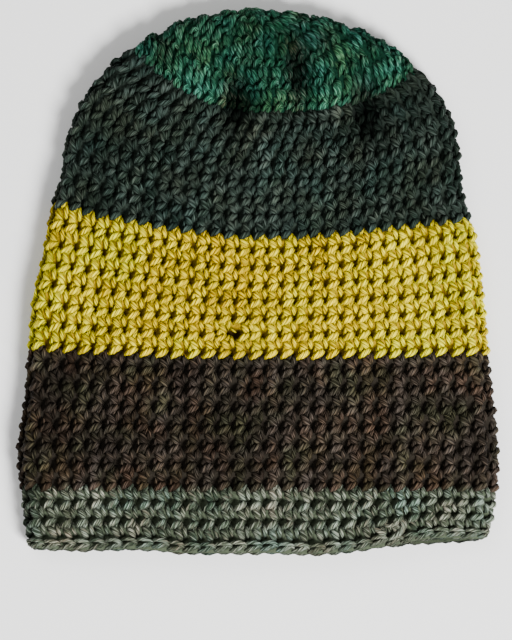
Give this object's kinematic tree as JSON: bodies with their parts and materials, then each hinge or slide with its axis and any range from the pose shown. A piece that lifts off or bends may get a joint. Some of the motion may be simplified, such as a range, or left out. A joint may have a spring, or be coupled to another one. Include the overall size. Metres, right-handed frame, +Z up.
{
  "type": "crochet beanie",
  "caption": "Slouchy crocheted beanie in broad stripes of worsted yarn, lying flat, hollow and open at the hem.",
  "frame": {"origin": "middle of the underside's bounding rectangle, on the surface that the hat lies on", "axes": "+X across the hat to the right of the picture, +Y from the hem to the crown, +Z up through the back layer and then the front layer"},
  "size_m": [0.2398, 0.2762, 0.022],
  "materials": {
    "crown_yarn": "heathered green worsted yarn in single crochet",
    "forest_yarn": "heathered dark grey-green worsted yarn in single crochet",
    "mustard_yarn": "plain mustard worsted yarn in single crochet",
    "brown_yarn": "heathered dark brown worsted yarn in single crochet",
    "sage_yarn": "heathered sage worsted yarn in single crochet"
  },
  "bodies": {
    "root": {"crown": "crown_yarn", "forest_band": "forest_yarn", "mustard_stripe": "mustard_yarn", "brown_band": "brown_yarn", "sage_hem": "sage_yarn"}
  },
  "joints": []
}
